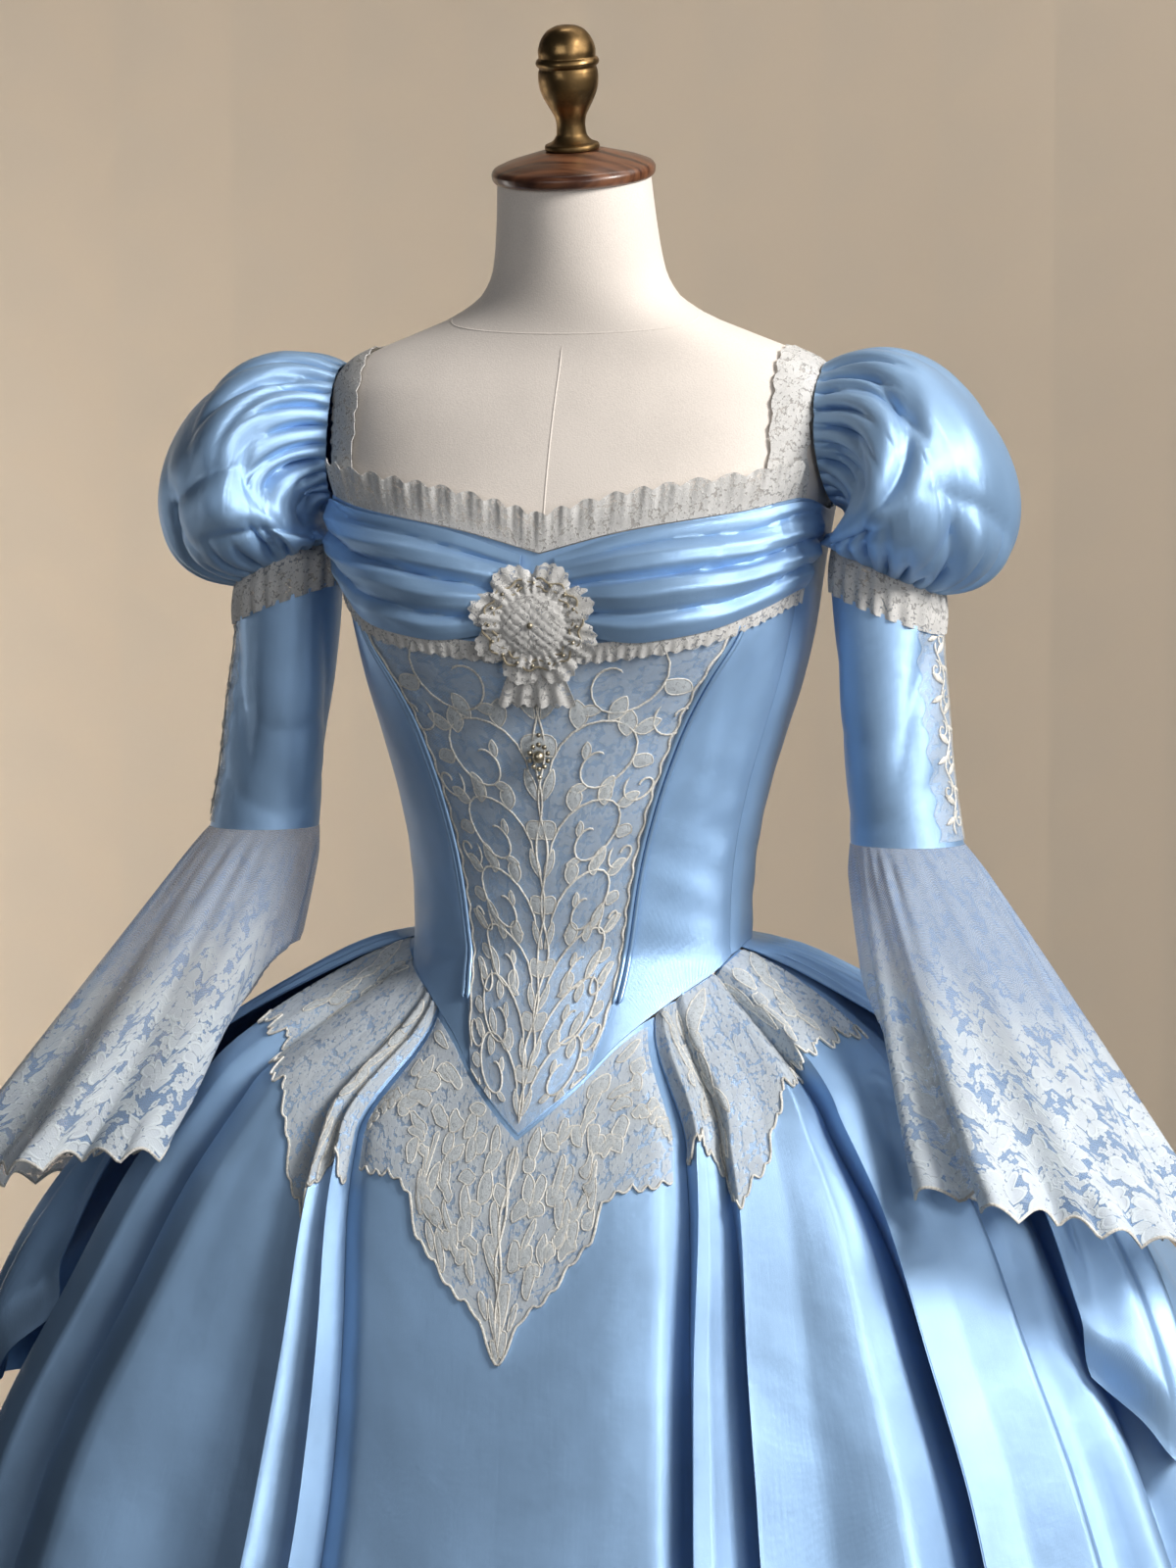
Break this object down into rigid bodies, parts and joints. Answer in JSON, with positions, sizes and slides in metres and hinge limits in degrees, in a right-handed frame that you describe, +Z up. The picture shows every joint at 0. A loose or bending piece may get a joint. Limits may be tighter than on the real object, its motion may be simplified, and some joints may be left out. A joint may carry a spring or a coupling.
{
  "type": "ball gown on a limbless dress form",
  "caption": "Satin ball gown with lace point, puff sleeves, flounces and a full pleated skirt, worn by a limbless dress form on a foot and pole.",
  "frame": {"origin": "centre of the underside of the stand's foot, on the floor", "axes": "+Z up, -Y towards the gown's front, +X towards the wearer's left"},
  "size_m": [1.225, 1.1026, 1.6673],
  "materials": {
    "satin": "blue duchess satin with a soft sheen",
    "lace": "silver-ivory corded lace",
    "tulle": "fine net with a lace border",
    "linen": "matt off-white covering",
    "wood": "dark polished walnut",
    "brass": "aged brass"
  },
  "bodies": {
    "root": {"skirt_front": "satin", "skirt_side_left": "satin", "skirt_side_right": "satin", "underskirt_left": "satin", "underskirt_right": "satin", "overskirt_swag_left": "satin", "overskirt_swag_right": "satin", "bodice_stomacher": "satin", "bodice_front_left": "satin", "bodice_front_right": "satin", "bodice_side_left": "satin", "bodice_side_right": "satin", "bodice_back_left": "satin", "bodice_back_right": "satin", "stomacher_piping_left": "satin", "stomacher_piping_right": "satin", "bust_drape_left": "satin", "bust_drape_right": "satin", "puff_left": "satin", "puff_right": "satin", "sleeve_left": "satin", "sleeve_right": "satin", "stomacher_lace": "lace", "neck_frill_front": "lace", "neck_frill_back": "lace", "strap_left": "lace", "strap_right": "lace", "bust_rosette": "lace", "puff_band_left": "lace", "puff_band_right": "lace", "sleeve_lace_left": "lace", "sleeve_lace_right": "lace", "peplum_lace_front": "lace", "peplum_lace_left": "lace", "peplum_lace_right": "lace", "flounce_front_left": "tulle", "flounce_back_left": "tulle", "flounce_front_right": "tulle", "flounce_back_right": "tulle", "form_torso": "linen", "neck_cap": "wood", "stand_foot": "wood", "stand_pole": "wood", "finial": "brass", "bodice_brooch": "brass"}
  },
  "joints": []
}
